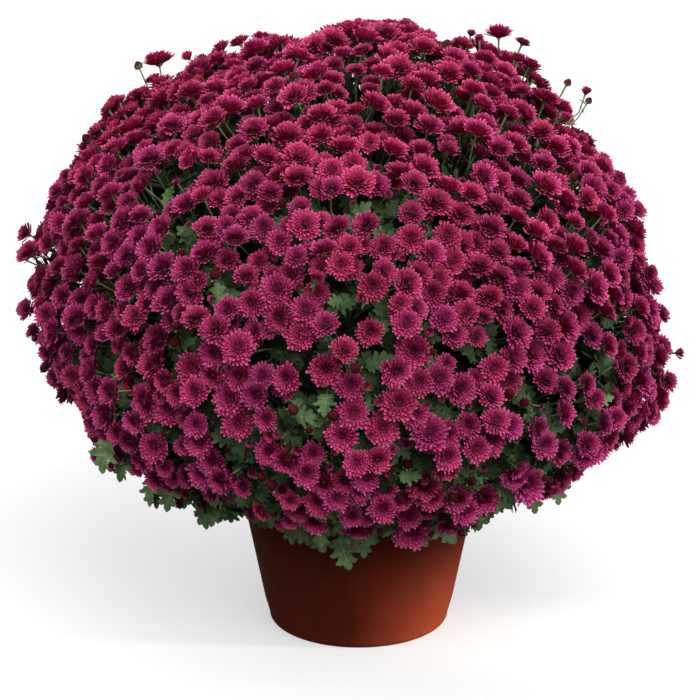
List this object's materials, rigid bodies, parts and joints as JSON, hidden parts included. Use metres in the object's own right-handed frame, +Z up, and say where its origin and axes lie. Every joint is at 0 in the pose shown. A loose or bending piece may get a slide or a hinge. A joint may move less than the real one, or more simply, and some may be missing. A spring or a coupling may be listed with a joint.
{
  "type": "pot chrysanthemum",
  "caption": "Pot chrysanthemum: a broad mound of magenta double blooms on leafy branching stems, growing in a flared round plastic pot.",
  "frame": {"origin": "centre of the underside of the pot's floor, on the pot's axis", "axes": "+Z up along the pot's axis; -Y is the side that the picture shows; +X is to the right in it"},
  "size_m": [0.7744, 0.7889, 0.7434],
  "materials": {
    "pot_plastic": "smooth matt terracotta-coloured plastic",
    "potting_soil": "damp crumbly peat, rough",
    "bark": "woody stem, rough",
    "leaves": "matt green leaves and stems",
    "petals": "soft matt magenta petals"
  },
  "bodies": {
    "root": {"pot": "pot_plastic", "soil": "potting_soil", "crown": "bark", "leafy_stem_01": "leaves", "leafy_stem_02": "leaves", "leafy_stem_03": "leaves", "leafy_stem_04": "leaves", "leafy_stem_05": "leaves", "leafy_stem_06": "leaves", "leafy_stem_07": "leaves", "leafy_stem_08": "leaves", "leafy_stem_09": "leaves", "leafy_stem_10": "leaves", "leafy_stem_11": "leaves", "leafy_stem_12": "leaves", "leafy_stem_13": "leaves", "leafy_stem_14": "leaves", "leafy_stem_15": "leaves", "leafy_stem_16": "leaves", "leafy_stem_17": "leaves", "leafy_stem_18": "leaves", "leafy_stem_19": "leaves", "leafy_stem_20": "leaves", "leafy_stem_21": "leaves", "leafy_stem_22": "leaves", "leafy_stem_23": "leaves", "leafy_stem_24": "leaves", "blooms_01": "petals", "blooms_02": "petals", "blooms_03": "petals", "blooms_04": "petals", "blooms_05": "petals", "blooms_06": "petals", "blooms_07": "petals", "blooms_08": "petals", "blooms_09": "petals", "blooms_10": "petals", "blooms_11": "petals", "blooms_12": "petals", "blooms_13": "petals", "blooms_14": "petals", "blooms_15": "petals", "blooms_16": "petals", "blooms_17": "petals", "blooms_18": "petals", "blooms_19": "petals", "blooms_20": "petals", "blooms_21": "petals", "blooms_22": "petals", "blooms_23": "petals", "blooms_24": "petals"}
  },
  "joints": []
}
